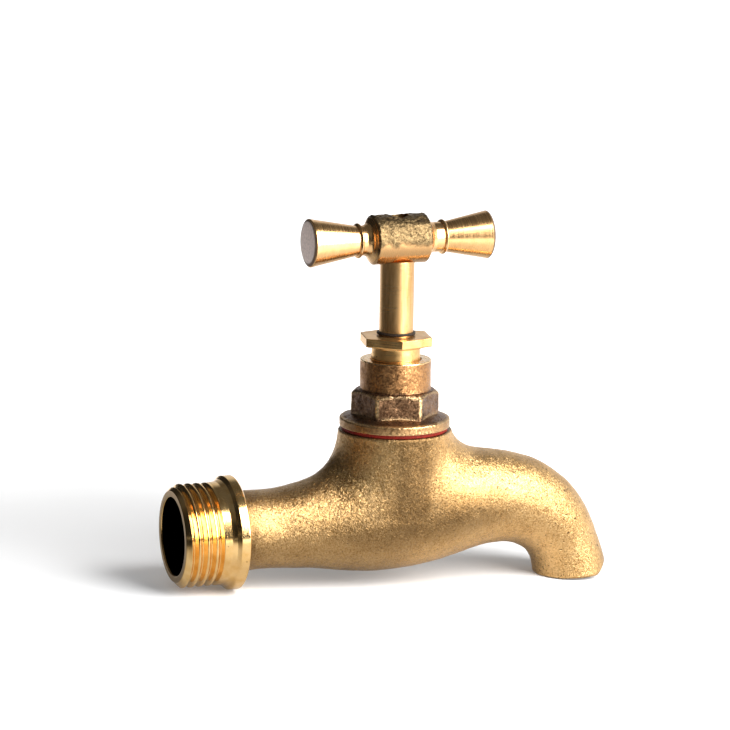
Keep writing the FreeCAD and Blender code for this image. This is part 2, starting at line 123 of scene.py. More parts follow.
def roundedProfile(corners, spacing=0.6):
    # corners are (along, radius, rounding); gives a dense open line with an arc at each rounded corner
    arcSteps, mostCut = 4, 0.45
    pts = [np.array(c[:2], float) for c in corners]
    out = [pts[0]]
    for number in range(1, len(corners) - 1):
        here, before, after = pts[number], pts[number - 1], pts[number + 1]
        size = corners[number][2] if len(corners[number]) > 2 else 0
        a, b = before - here, after - here
        la, lb = np.linalg.norm(a), np.linalg.norm(b)
        a, b = a / la, b / lb
        half = math.acos(max(-1, min(1, float(a @ b)))) / 2
        if size <= 0 or half > 1.5:      # no rounding, or nearly straight on
            out.append(here)
            continue
        cutBack = min(size / max(math.tan(half), 0.05), la * mostCut, lb * mostCut)
        radius = cutBack * math.tan(half)
        middle = here + (a + b) / np.linalg.norm(a + b) * (radius / math.sin(half))
        start, stop = here + a * cutBack, here + b * cutBack
        lead = min(0.05, cutBack * 0.3)      # a short row before and after the arc holds the shading flat
        out.append(start + a * lead)
        u, v = start - middle, stop - middle
        turn = math.atan2(u[0] * v[1] - u[1] * v[0], float(u @ v))
        for step in range(arcSteps + 1):
            t = turn * step / arcSteps
            c, s = math.cos(t), math.sin(t)
            out.append(middle + np.array([u[0] * c - u[1] * s, u[0] * s + u[1] * c]))
        out.append(stop + b * lead)
    out.append(pts[-1])
    dense = [out[0]]
    for p, q in zip(out, out[1:]):
        gap = np.linalg.norm(q - p)
        if gap < 1e-6:
            continue
        parts = max(1, int(gap / spacing))
        dense += [p + (q - p) * k / parts for k in range(1, parts + 1)]
    return np.array(dense)


def rowFaces(rows, around, closed):
    # quads between rings of the same count; a closed stack also joins its last ring to its first
    faces = []
    for i in range(rows if closed else rows - 1):
        a, b = i * around, ((i + 1) % rows) * around
        for k in range(around):
            m = (k + 1) % around
            faces.append((a + k, a + m, b + m, b + k))
    return faces


def ringAngles(around):
    return np.arange(around) * 2 * math.pi / around


def turnedPoints(line, around, axis="z", centre=(valveAxis, 0, 0)):
    t = ringAngles(around)
    along, radius = line[:, 0][:, None], line[:, 1][:, None]
    c, s = radius * np.cos(t), radius * np.sin(t)
    along = along + 0 * c
    grid = np.stack([c, s, along], -1) if axis == "z" else np.stack([along, c, s], -1)
    return (grid + np.array(centre)).reshape(-1, 3)


def turnedMesh(line, around, axis="z", centre=(valveAxis, 0, 0), poles=False):
    # a closed line turned round the axis, or an open one with a fan to the axis at each end
    points = turnedPoints(line, around, axis, centre)
    faces = rowFaces(len(line), around, not poles)
    if poles:
        first, last, top = len(points), len(points) + 1, (len(line) - 1) * around
        points = np.vstack([points, turnedPoints(line[[0, -1]] * [1, 0], 1, axis, centre)])
        faces += [(first, (k + 1) % around, k) for k in range(around)]
        faces += [(last, top + k, top + (k + 1) % around) for k in range(around)]
    return points, faces


# node trees

def join(source, target):
    source.id_data.links.new(source, target)


def addNode(kind, inputs=(), tree=None, **settings):
    # inputs go by number or name; each is a number, vector or colour, or the output of another node. The node
    # goes in the tree of the first such output, or else in the one given.
    given = list(inputs.items() if isinstance(inputs, dict) else enumerate(inputs))
    sources = [value for key, value in given if isinstance(value, bpy.types.NodeSocket)]
    node = (tree or sources[0].id_data).nodes.new(kind)
    for name, value in settings.items():
        setattr(node, name, value)
    for key, value in given:
        socket = node.inputs[key]
        if isinstance(value, bpy.types.NodeSocket):
            join(value, socket)
        else:
            socket.default_value = (*value, 1) if socket.type == "RGBA" else value
    return node


def mathNode(operation, *inputs):
    return addNode("ShaderNodeMath", inputs, operation=operation).outputs[0]


def plus(a, b):
    return mathNode("ADD", a, b)


def minus(a, b):
    return mathNode("SUBTRACT", a, b)


def times(a, b):
    return mathNode("MULTIPLY", a, b)


def oneLess(value, share=1.0):
    return minus(1.0, times(value, share))


def reachOf(y, z):
    return mathNode("SQRT", plus(times(y, y), times(z, z)))


def vectorNode(operation, inputs, output="Vector"):
    return addNode("ShaderNodeVectorMath", inputs, operation=operation).outputs[output]


def mapped(value, fromLow, fromHigh, toLow=0.0, toHigh=1.0, kind="SMOOTHSTEP"):
    ends = (value, fromLow, fromHigh, toLow, toHigh)
    return addNode("ShaderNodeMapRange", ends, interpolation_type=kind).outputs[0]


def between(share, first, second):
    return mapped(share, 0.0, 1.0, first, second, "LINEAR")


def wandering(value, cloud, size):
    # lets a border wander with the clouds
    return plus(value, times(minus(cloud, 0.5), size))


def partsOf(place):
    return addNode("ShaderNodeSeparateXYZ", (place,)).outputs


def attributeOf(place, name):
    return addNode("ShaderNodeAttribute", tree=place.id_data, attribute_name=name).outputs["Fac"]


def placedBy(place, **change):
    return addNode("ShaderNodeMapping", {"Vector": place, **change}).outputs["Vector"]


def noiseOf(place, scale, detail, rough, stretch=None):
    if stretch:
        place = placedBy(place, Scale=stretch)
    sizes = {"Vector": place, "Scale": scale, "Detail": detail, "Roughness": rough}
    return addNode("ShaderNodeTexNoise", sizes).outputs["Fac"]


def rampOf(value, *stops):
    node = addNode("ShaderNodeValToRGB", (value,))
    band = node.color_ramp
    while len(band.elements) < len(stops):
        band.elements.new(0.5)
    for element, (place, colour) in zip(band.elements, stops):
        element.position = place
        element.color = (*colour, 1)
    return node.outputs["Color"]


def blended(amount, first, second):
    return addNode("ShaderNodeMix", {0: amount, 6: first, 7: second}, data_type="RGBA").outputs[2]


def glintNormal(place, scale, tilt):
    # each grain leans its own way, so it catches the light by itself
    grains = addNode("ShaderNodeTexVoronoi", {"Vector": place, "Scale": scale}).outputs["Color"]
    lean = vectorNode("SUBTRACT", (grains, (0.5, 0.5, 0.5)))
    lean = vectorNode("SCALE", {0: lean, "Scale": tilt})
    straight = addNode("ShaderNodeNewGeometry", tree=place.id_data).outputs["Normal"]
    return vectorNode("NORMALIZE", (vectorNode("ADD", (straight, lean)),))


def addBump(shader, height, depth, before=None):
    sizes = {"Height": height, "Distance": depth * 0.001, "Strength": 1.0}
    if before:
        sizes["Normal"] = before
    bump = addNode("ShaderNodeBump", sizes).outputs["Normal"]
    join(bump, shader.inputs["Normal"])
    return bump


def newMaterial(name, roughness=0.4, metallic=1.0):
    material = bpy.data.materials.new(name)
    material.use_nodes = True
    tree = material.node_tree
    shader = tree.nodes["Principled BSDF"]
    shader.inputs["Metallic"].default_value = metallic
    shader.inputs["Roughness"].default_value = roughness
    coords = addNode("ShaderNodeTexCoord", tree=tree).outputs["Object"]
    place = placedBy(coords, Scale=(1000, 1000, 1000))      # the pattern is laid out in millimetres
    return material, shader, place


def roughnessOf(pattern, look):
    return mapped(pattern, 0.3, 0.7, *look["roughness"], "LINEAR")


def dress(shader, colour, rough, height, depth, before=None):
    join(colour, shader.inputs["Base Color"])
    join(rough, shader.inputs["Roughness"])
    return addBump(shader, height, depth, before)


# finishes

castFinish = {
    "light": (0.81, 0.53, 0.240), "mid": (0.60, 0.36, 0.140), "dark": (0.29, 0.155, 0.048),
    # the colour of the painted shade in the hollows, and how much of it is laid on
    "hollowShade": (0.07, 0.036, 0.013), "hollowShadeShare": 0.85, "pitColour": (0.05, 0.03, 0.014),
    # the waterway's colour is painted shade, near black
    "pitsGrow": (62.0, 76.0), "paintedBoreShade": (0.004, 0.003, 0.002), "roughness": (0.28, 0.41),
    "grainDepth": 0.12, "glintScale": 3.6, "glintTilt": 0.24,
}


def makeCastBrass():
    # sand-cast skin: grains that glint one by one, cloudy tint, painted shade in the hollows, pits towards
    # the mouth
    look = castFinish
    material, shader, place = newMaterial("castBrass")
    cloud = noiseOf(place, 0.22, 4, 0.6)
    grain = noiseOf(place, 2.6, 3, 0.75)
    tint = plus(times(cloud, 0.25), times(grain, 0.75))
    colour = rampOf(tint, (0.34, look["dark"]), (0.46, look["mid"]), (0.62, look["light"]))
    # painted shade: darker where a point is closed in by the casting's hollows
    colour = blended(times(attributeOf(place, "recess"), look["hollowShadeShare"]), colour, look["hollowShade"])
    pits = mapped(noiseOf(place, 1.1, 2, 0.5), 0.66, 0.72)
    pits = times(pits, mapped(partsOf(place)[0], *look["pitsGrow"], 0.25, 1.0))
    specks = mapped(noiseOf(place, 2.3, 1, 0.4), 0.68, 0.74)
    pits = mathNode("MAXIMUM", pits, times(specks, 0.7))
    colour = blended(times(pits, 0.75), colour, look["pitColour"])
    # painted shade: the waterway inside is painted near black
    colour = blended(attributeOf(place, "bore"), colour, look["paintedBoreShade"])
    height = minus(grain, times(pits, 0.8))
    glint = glintNormal(place, look["glintScale"], look["glintTilt"])
    dress(shader, colour, roughnessOf(grain, look), height, look["grainDepth"], glint)
    return material


threadFinish = {
    "bright": (0.95, 0.63, 0.27), "dull": (0.86, 0.52, 0.18), "roughness": (0.10, 0.22), "lineDepth": 0.005,
}
nutFinish = {
    "bright": (0.82, 0.51, 0.20), "dull": (0.66, 0.38, 0.14), "roughness": (0.24, 0.38), "lineDepth": 0.006,
}
innerFinish = {
    "bright": (0.74, 0.52, 0.24), "dull": (0.52, 0.34, 0.14), "roughness": (0.28, 0.42), "lineDepth": 0.008,
}


def makeMachinedBrass(name, axis, look, bore=None):
    # freshly cut brass: tool lines run round the axis, with small nicks
    material, shader, place = newMaterial(name)
    stretch = {"x": (3.0, 0.05, 0.05), "z": (0.05, 0.05, 3.0)}[axis]
    lines = noiseOf(place, 2.2, 3, 0.6, stretch)
    cloud = noiseOf(place, 0.5, 3, 0.5)
    nicks = mapped(noiseOf(place, 1.4, 1, 0.4), 0.74, 0.80)
    colour = rampOf(cloud, (0.35, look["dull"]), (0.6, look["bright"]))
    colour = blended(times(nicks, 0.6), colour, (0.2, 0.1, 0.03))
    if bore:
        # the end's face is made darker, and the waterway behind it is painted near black as painted shade
        radius, start = bore
        x, y, z = partsOf(place)
        inside = mapped(reachOf(y, z), radius + 0.12, radius + 0.04)
        inside = times(inside, mapped(x, start, start + 0.25))
        face = mapped(x, start - 0.1, start - 0.22, 0.0, 0.6)
        colour = blended(face, colour, (0.10, 0.06, 0.025))
        colour = blended(inside, colour, castFinish["paintedBoreShade"])
    height = minus(lines, times(nicks, 2.0))
    dress(shader, colour, roughnessOf(lines, look), height, look["lineDepth"])
    return material


forgedFinish = {
    "flangeDark": (0.28, 0.155, 0.068), "flangeLight": (0.47, 0.275, 0.12), "hexDark": (0.075, 0.036, 0.018),
    "hexLight": (0.27, 0.15, 0.078), "barrelDark": (0.22, 0.105, 0.040), "barrelLight": (0.50, 0.26, 0.105),
    # the rim colour is the cut top rim's own, and is also laid on edges and corners as painted highlight
    "rim": (0.82, 0.57, 0.29), "flangeTop": 21.75, "hexTop": 27.55, "rimFrom": 33.45,
    "roughness": (0.30, 0.46), "grainDepth": 0.06, "glintScale": 3.2, "glintTilt": 0.30,
}


def makeForgedBrass():
    # hot-forged bonnet: a flange rim painted bright, partly wear and partly painted highlight, a hexagon dark
    # with scale, a browner barrel, a cut top rim
    look = forgedFinish
    material, shader, place = newMaterial("forgedBrass")
    z = partsOf(place)[2]
    cloud = noiseOf(place, 0.45, 4, 0.6)
    grain = noiseOf(place, 2.4, 3, 0.7)
    tint = plus(times(cloud, 0.45), times(grain, 0.55))
    flange, hexagon, barrel = (rampOf(tint, (0.38, look[name + "Dark"]), (0.62, look[name + "Light"]))
                               for name in ("flange", "hex", "barrel"))
    aboveFlange = mapped(z, look["flangeTop"] - 0.25, look["flangeTop"] + 0.25)
    aboveHex = mapped(wandering(z, cloud, 1.2), look["hexTop"] - 0.1, look["hexTop"] + 0.5)
    colour = blended(aboveHex, blended(aboveFlange, flange, hexagon), barrel)
    # painted bright on the flange's edges and the hexagon's corners, brow and foot: partly wear where hands
    # and spanners touch, partly painted highlight
    wearAndHighlight = times(attributeOf(place, "wearAndHighlight"), mapped(grain, 0.36, 0.56, 0.25, 1.0))
    rim = mapped(z, look["rimFrom"], look["rimFrom"] + 0.06)
    for amount in (wearAndHighlight, rim):
        colour = blended(amount, colour, look["rim"])
    rough = times(roughnessOf(grain, look), oneLess(rim, 0.5))
    height = times(grain, oneLess(rim, 0.9))
    glint = glintNormal(place, look["glintScale"], look["glintTilt"])
    dress(shader, colour, rough, height, look["grainDepth"], glint)
    return material


stemFinish = {
    "light": (0.69, 0.42, 0.185), "dark": (0.54, 0.305, 0.115), "roughness": (0.26, 0.36), "lineDepth": 0.008,
}


def makeStemBrass():
    # a drawn and turned bar: rings from the tool and long streaks from handling
    look = stemFinish
    material, shader, place = newMaterial("stemBrass")
    rings = noiseOf(place, 2.5, 3, 0.6, (0.05, 0.05, 3.0))
    streaks = noiseOf(place, 1.1, 4, 0.6, (1.6, 1.6, 0.12))
    colour = rampOf(streaks, (0.36, look["dark"]), (0.6, look["light"]))
    dress(shader, colour, roughnessOf(rings, look), rings, look["lineDepth"])
    return material


handleFinish = {
    "light": (0.82, 0.50, 0.22), "mid": (0.72, 0.42, 0.175), "castLight": (0.24, 0.165, 0.078),
    "castDark": (0.09, 0.056, 0.025), "hubSkin": (0.50, 0.29, 0.125), "disc": (0.95, 0.80, 0.74),
    "discRim": (0.16, 0.10, 0.065), "axisHeight": 58.29, "hubHalf": 5.95, "skinEdge": -0.6, "discRadius": 4.0,
    "endFrom": 19.1, "roughness": (0.18, 0.31), "lineDepth": 0.008, "skinDepth": 0.14,
    "glintScale": 3.0, "glintTilt": 0.26,
}


def makeHandleBrass():
    # turned arms with fine rings, cast skin left on the upper side of the hub, scaly sawn ends
    look = handleFinish
    material, shader, place = newMaterial("handleBrass")
    place = placedBy(place, Location=(-valveAxis, 0, -look["axisHeight"]))
    x, y, z = partsOf(place)
    side = mathNode("ABSOLUTE", x)
    rings = noiseOf(place, 2.4, 3, 0.6, (3.2, 0.04, 0.04))
    grain = noiseOf(place, 1.9, 4, 0.7)
    cloud = noiseOf(place, 0.5, 3, 0.5)
    onHub = mapped(side, look["hubHalf"] + 0.05, look["hubHalf"] - 0.15)
    edge = wandering(z, cloud, 3.0)
    skin = times(onHub, mapped(edge, look["skinEdge"] - 0.5, look["skinEdge"] + 0.7))
    turned = rampOf(cloud, (0.35, look["mid"]), (0.6, look["light"]))
    turned = blended(onHub, turned, look["hubSkin"])
    castSkin = rampOf(grain, (0.36, look["castDark"]), (0.6, look["castLight"]))
    colour = blended(skin, turned, castSkin)
    disc = rampOf(grain, (0.35, tuple(c * 0.7 for c in look["disc"])), (0.65, look["disc"]))
    onRim = mapped(reachOf(y, z), look["discRadius"], look["discRadius"] + 0.45)
    onEnd = mapped(side, look["endFrom"], look["endFrom"] + 0.12)
    colour = blended(onEnd, colour, blended(onRim, disc, look["discRim"]))
    rough = plus(roughnessOf(rings, look), times(skin, 0.18))
    rough = plus(rough, times(onEnd, 0.4))
    join(oneLess(onEnd, 0.55), shader.inputs["Metallic"])
    glint = glintNormal(place, look["glintScale"], times(skin, look["glintTilt"]))
    lines = dress(shader, colour, rough, rings, look["lineDepth"], glint)
    coarse = times(grain, plus(skin, times(onEnd, 0.35)))
    addBump(shader, coarse, look["skinDepth"], lines)
    return material


matteFinishes = {      # dark colour, light colour, roughness, depth of the grain
    "redFibre": ((0.12, 0.006, 0.002), (0.24, 0.014, 0.005), 0.6, 0.03),
    "sealRubber": ((0.010, 0.007, 0.005), (0.03, 0.02, 0.014), 0.5, 0.02),
    "graphitePacking": ((0.02, 0.02, 0.02), (0.09, 0.09, 0.09), 0.6, 0.05),
    "valveRubber": ((0.012, 0.012, 0.012), (0.035, 0.033, 0.03), 0.55, 0.02),
}


def makeMatte(name, dark, light, roughness, depth):
    material, shader, place = newMaterial(name, roughness, 0.0)
    shader.inputs["Specular IOR Level"].default_value = 0.2
    fleck = noiseOf(place, 3.0, 4, 0.6)
    join(rampOf(fleck, (0.35, dark), (0.65, light)), shader.inputs["Base Color"])
    addBump(shader, fleck, depth)
    return material


castBrass = makeCastBrass()
threadBrass = makeMachinedBrass("threadBrass", "x", threadFinish, bore=(7.9, -9.95))
nutBrass = makeMachinedBrass("nutBrass", "z", nutFinish)
innerBrass = makeMachinedBrass("innerBrass", "z", innerFinish)
forgedBrass = makeForgedBrass()
stemBrass = makeStemBrass()
handleBrass = makeHandleBrass()
redFibre, sealRubber, graphitePacking, valveRubber = (makeMatte(name, *matteFinishes[name])
                                                      for name in matteFinishes)
print("finishes made")


# cast body: a field of distances, turned into a mesh where it crosses zero

castBody = {      # a station is (x, z, radius)
    "neckRadius": 8.14, "neckRise": 0.16, "neckEnd": 11.3, "waist": (25.2, 0.6, 9.98),
    "belly": (39.0, 0.94, 10.83), "shoulder": (48.43, 3.06, 11.0), "crest": (57.72, 3.59, 10.0),
    "bend": ((66.62, 1.72, 9.03), (72.98, -3.2, 8.09), (75.97, -8.33, 7.46)), "mouth": (77.4, -13.65, 7.71),
    "mouthTilt": 0.035, "mouthLean": 0.08, "mouthCut": 0.2, "grindFrom": 81.2, "grindSlope": (0.57, 0.82),
    "bossRadius": 11.45, "bossTop": 19.2, "bossFoot": 2.8, "blendPower": 0.55, "inletFlare": (9.45, 12.06),
    "spoutFlare": (7.3, 7.29), "inletTuck": 2.69, "spoutTuck": 2.0, "rootRadius": 10.4, "rootMiddle": 1.3,
    "rootHalf": 1.2, "start": 0.6, "tip": 86.6, "halfWidth": 12.3, "grid": 0.38,
    "cloudSize": 0.16, "cloudLength": 6.0, "lumpSize": 0.05, "lumpLength": 1.7,
    "hollowReach": ((1.5, 0.2), (3.5, 0.35), (7.0, 0.45)), "hollowGain": 1.6,      # distance and weight
}
waterway = {
    "wall": 2.0, "inletRadii": (7.95, 4.9), "inletTaper": (1.4, 5.8), "chamberRadius": 8.4,
    "threadedRadius": 9.06, "threadedFrom": 12.5, "seatBore": 4.5, "seatTop": 4.2, "port": (0.0, 5.2),
    "moat": (3.0, 4.6), "moatInside": 5.9, "sumpRadius": 4.8, "sump": (-6.6, 1.8),
    "outlet": ((32, 11.5, 5.4), (valveAxis, 10.3, 5.6), (47.2, 6.74, 6.1)),
    "passage": ((1.4, 0, 5.7), (18.6, -0.93, 5.13), (28.56, -3.1, 4.0), (33, -3.1, 4.0),
                (valveAxis, -3.1, 4.0)),
}


def splineThrough(knots, count):
    # natural cubic spline through the stations, spaced by their distances
    knots = np.array(knots, float)
    t = np.concatenate([[0], np.cumsum(np.linalg.norm(np.diff(knots[:, :2], axis=0), axis=1))])
    n = len(t)
    h = np.diff(t)
    a = np.eye(n)
    b = np.zeros((n, knots.shape[1]))
    for i in range(1, n - 1):
        a[i, i - 1:i + 2] = h[i - 1], 2 * (h[i - 1] + h[i]), h[i]
        b[i] = 6 * ((knots[i + 1] - knots[i]) / h[i] - (knots[i] - knots[i - 1]) / h[i - 1])
    m = np.linalg.solve(a, b)
    s = np.linspace(0, t[-1], count)
    k = np.clip(np.searchsorted(t, s, side="right") - 1, 0, n - 2)
    d, e, w = (s - t[k])[:, None], (t[k + 1] - s)[:, None], h[k][:, None]
    return (m[k] * e ** 3 + m[k + 1] * d ** 3) / (6 * w) + (knots[k] / w - m[k] * w / 6) * e \
        + (knots[k + 1] / w - m[k + 1] * w / 6) * d


def spoutStations(wall=0.0):
    # from the crest to the mouth, and straight on below it
    stations = [(x, z, r - wall) for x, z, r in (part["crest"], *part["bend"], part["mouth"])]
    x, z, r = stations[-1]
    return stations + [(x + below * part["mouthLean"], z - below, r) for below in (3, 6)]


part = castBody
mouthHeight = part["mouth"][1]
neckLine = [(x, part["neckRise"], part["neckRadius"]) for x in (-6, 1.4, part["neckEnd"])]
paths = (
    splineThrough(neckLine + [part["waist"], part["belly"], part["shoulder"]] + spoutStations(), 900),
    splineThrough([*waterway["outlet"]] + spoutStations(waterway["wall"]), 600),
    splineThrough(waterway["passage"], 400),
)
runPath, outletPath, passagePath = paths


def nearestOnPaths(x, z):
    # for each place the number of the nearest point on each path
    flat = np.stack([x.ravel(), z.ravel()], 1)
    found = []
    for path in paths:
        best = np.empty(len(flat), int)
        for start in range(0, len(flat), 20000):
            block = flat[start:start + 20000]
            gaps = (block[:, :1] - path[:, 0]) ** 2 + (block[:, 1:] - path[:, 1]) ** 2
            best[start:start + 20000] = gaps.argmin(1)
        found.append(best.reshape(x.shape))
    return found


def distanceToRun(path, x, y, z, nearest):
    dx, dz = x - path[nearest, 0], z - path[nearest, 1]
    reach = np.sqrt(dx * dx + dz * dz + y * y) + 1e-9
    return reach - path[nearest, 2], dx, dz, reach


def roundedBoth(a, b, radius):
    # where both solids are, with the edge between them rounded
    corner = np.hypot(np.maximum(radius + a, 0), np.maximum(radius + b, 0))
    return np.minimum(-radius, np.maximum(a, b)) + corner


def roundedEither(a, b, radius):
    return -roundedBoth(-a, -b, radius)


def outerField(x, y, z, nearest):
    run, dx, dz, reach = distanceToRun(runPath, x, y, z, nearest)
    off = x - valveAxis
    low = np.minimum(z - part["bossFoot"], 0)
    bossReach = np.sqrt(off * off + y * y + low * low) + 1e-9
    boss = bossReach - part["bossRadius"]
    # the blend between run and boss is wide where they stand across each other, and none where they agree
    agree = (off * dx + y * y + low * dz) / (bossReach * reach)
    spread = np.clip(1 - agree, 0, 1) ** part["blendPower"]
    inletSide = smoothed(-off, -5, 5)
    flareX, flareZ = (np.maximum((a + (b - a) * inletSide) * spread, 0.4)
                      for a, b in zip(part["spoutFlare"], part["inletFlare"]))
    tuck = part["spoutTuck"] + (part["inletTuck"] - part["spoutTuck"]) * inletSide
    u, v = np.maximum(1 - boss / flareX, 0), np.maximum(1 - run / flareZ, 0)
    fillet = (u ** tuck + v ** tuck + 1e-12) ** (1 / tuck)
    field = (np.maximum(1, np.minimum(boss / flareX, run / flareZ)) - fillet) * np.minimum(flareX, flareZ)
    root = np.maximum(np.hypot(y, z) - part["rootRadius"], np.abs(x - part["rootMiddle"]) - part["rootHalf"])
    field = roundedEither(field, root, 1.3)
    # sawn a little out of square at the mouth, with a flat ground on its outer corner
    mouthX, (across, down) = part["mouth"][0], part["grindSlope"]
    mouthFace = mouthHeight - part["mouthCut"] + (x - mouthX) * part["mouthTilt"] - z
    grind = (x - part["grindFrom"]) * across - (z - mouthHeight) * down
    top, end = z - part["bossTop"], part["start"] - x
    for cut, rounding in ((top, 0.3), (mouthFace, 0.25), (grind, 0.3), (end, 0.1)):
        field = roundedBoth(field, cut, rounding)
    return field


def waterField(x, y, z, nearOutlet, nearPassage):
    way = waterway
    post = np.hypot(x - valveAxis, y)

    def drilled(radius, low, high=99):
        return np.maximum(post - radius, np.maximum(low - z, z - high))

    inlet = np.hypot(y, z) - np.interp(x, way["inletTaper"], way["inletRadii"])
    field = np.maximum(inlet, x - way["inletTaper"][1])
    for hollow in (
        distanceToRun(passagePath, x, y, z, nearPassage)[0],
        distanceToRun(outletPath, x, y, z, nearOutlet)[0],
        drilled(way["chamberRadius"], way["seatTop"]),
        drilled(way["threadedRadius"], way["threadedFrom"]),
        drilled(way["seatBore"], *way["port"]),
        np.maximum(drilled(way["chamberRadius"], *way["moat"]), way["moatInside"] - post),
        drilled(way["sumpRadius"], *way["sump"]),
    ):
        field = np.minimum(field, hollow)
    return field


def netOf(field, low, step):
    # one point in each cell that the surface crosses, and one quad round each crossed edge
    shape = tuple(n - 1 for n in field.shape)
    total, count = np.zeros(shape + (3,)), np.zeros(shape)
    inside = field < 0
    quads = []
    for axis in range(3):
        u, v = (axis + 1) % 3, (axis + 2) % 3
        first, second = [slice(None)] * 3, [slice(None)] * 3
        first[axis], second[axis] = slice(0, -1), slice(1, None)
        a, b = field[tuple(first)], field[tuple(second)]
        crossed = (a < 0) != (b < 0)
        where = np.argwhere(crossed)
        spots = where.astype(float)
        spots[:, axis] += a[crossed] / (a[crossed] - b[crossed])
        cells = []
        for p, q in ((0, 0), (0, 1), (1, 0), (1, 1)):
            cell = where.copy()
            cell[:, u] -= p
            cell[:, v] -= q
            ok = ((cell >= 0) & (cell < shape)).all(1)
            index = tuple(cell[ok].T)
            np.add.at(total, index, spots[ok])
            np.add.at(count, index, 1)
            cells.append(cell)
        whole = ((cells[3] >= 0) & (cells[0] < shape)).all(1)
        quad = np.stack([np.ravel_multi_index(tuple(cells[k][whole].T), shape) for k in (3, 1, 0, 2)], 1)
        inward = ~inside[tuple(where[whole].T)]
        quad[inward] = quad[inward][:, ::-1]
        quads.append(quad)
    used = count > 0
    number = np.full(shape, -1)
    number[used] = np.arange(used.sum())
    points = total[used] / count[used][:, None] * step + low
    return points, number.ravel()[np.concatenate(quads)]


def recessOf(points, normals, outer, low, step):
    # how closed in a point is: the field grows slower than the way out in a hollow
    closed = np.zeros(len(points))
    for away, weight in part["hollowReach"]:
        spot = np.clip((points + normals * away - low) / step, 0, np.array(outer.shape) - 1.001)
        i = spot.astype(int)
        value = 0
        for corner in np.ndindex(2, 2, 2):
            share = np.abs(1 - np.array(corner) - (spot - i)).prod(1)
            value = value + share * outer[tuple((i + corner).T)]
        closed += weight * np.clip(1 - value / away, 0, 1)
    return np.clip(closed * part["hollowGain"], 0, 1)


def makeCastBody():
    step, half = part["grid"], part["halfWidth"]
    low = np.array([part["start"] - 3.3 * step, -half, mouthHeight - 0.5 - 3.5 * step])
    size = np.array([part["tip"] - low[0], 2 * half, part["bossTop"] + 1.2 - low[2]])
    counts = (size / step).astype(int) + 1
    xs, ys, zs = (low[i] + step * np.arange(counts[i]) for i in range(3))
    near = [found[:, None, :] for found in nearestOnPaths(*np.meshgrid(xs, zs, indexing="ij"))]
    grid = (xs[:, None, None], ys[None, :, None], zs[None, None, :])
    outer = outerField(*grid, near[0])
    points, quads = netOf(np.maximum(outer, -waterField(*grid, *near[1:])), low, step)

    def solid(p, near):
        return np.maximum(outerField(*p.T, near[0]), -waterField(*p.T, *near[1:]))

    def slope(p, e=0.05):
        near = nearestOnPaths(p[:, 0], p[:, 2])
        return near, np.stack([solid(p + s, near) - solid(p - s, near) for s in np.eye(3) * e], 1) / (2 * e)

    # two short moves along the slope bring the points onto the surface
    near, out = slope(points)
    for turn in range(2):
        move = solid(points, near)[:, None] * out / np.maximum((out * out).sum(1), 0.2)[:, None]
        points = points - np.clip(move, -0.12, 0.12)
        near, out = slope(points)
    normals = out / np.maximum(np.linalg.norm(out, axis=1), 1e-6)[:, None]
    bore = 1 - smoothed(outerField(*points.T, near[0]) + waterField(*points.T, *near[1:]), -0.6, -0.05)
    recess = recessOf(points, normals, outer, low, step)
    # the casting's unevenness, but not in the bore or near the cut faces
    lift = 0
    for name in ("cloud", "lump"):
        pattern = [noise.noise(Vector(p) / part[name + "Length"]) for p in points.tolist()]
        lift = lift + np.array(pattern) * part[name + "Size"]
    belowTop, aboveMouth = part["bossTop"] - points[:, 2], points[:, 2] - mouthHeight
    lift = lift * ((1 - bore) * smoothed(belowTop, 0.1, 0.8) * smoothed(aboveMouth, 0.1, 0.8))
    piece = meshObject("castBody", points + normals * lift[:, None], quads.tolist(), castBrass)
    finishPiece(piece, "tap", ["body"])
    # the cast brass paints the waterway near black by this, as painted shade
    writeOnPoints(piece, "bore", bore)
    # how closed in each point is, which the cast brass turns into painted shade
    writeOnPoints(piece, "recess", recess)
    print("cast body:", len(points), "points")


makeCastBody()


# threaded inlet: turned in one with its collar, then the thread is cut by rule

inletEnd = {
    "faceAt": -10.2, "crestRadius": 10.4775, "pitch": 1.814, "depth": 1.162, "leadIn": 1.3, "boreRadius": 7.9,
    "firstCrest": -8.55, "threadEnd": -1.9, "runOut": 1.0, "collarRadius": 11.54, "collarWidth": 2.8,
    "rowGap": 0.075, "around": 224,
}
threadInputs = {
    "Crest Radius": "crestRadius", "Pitch": "pitch", "Depth": "depth", "First Crest": "firstCrest",
    "Thread End": "threadEnd", "Run Out": "runOut",
}


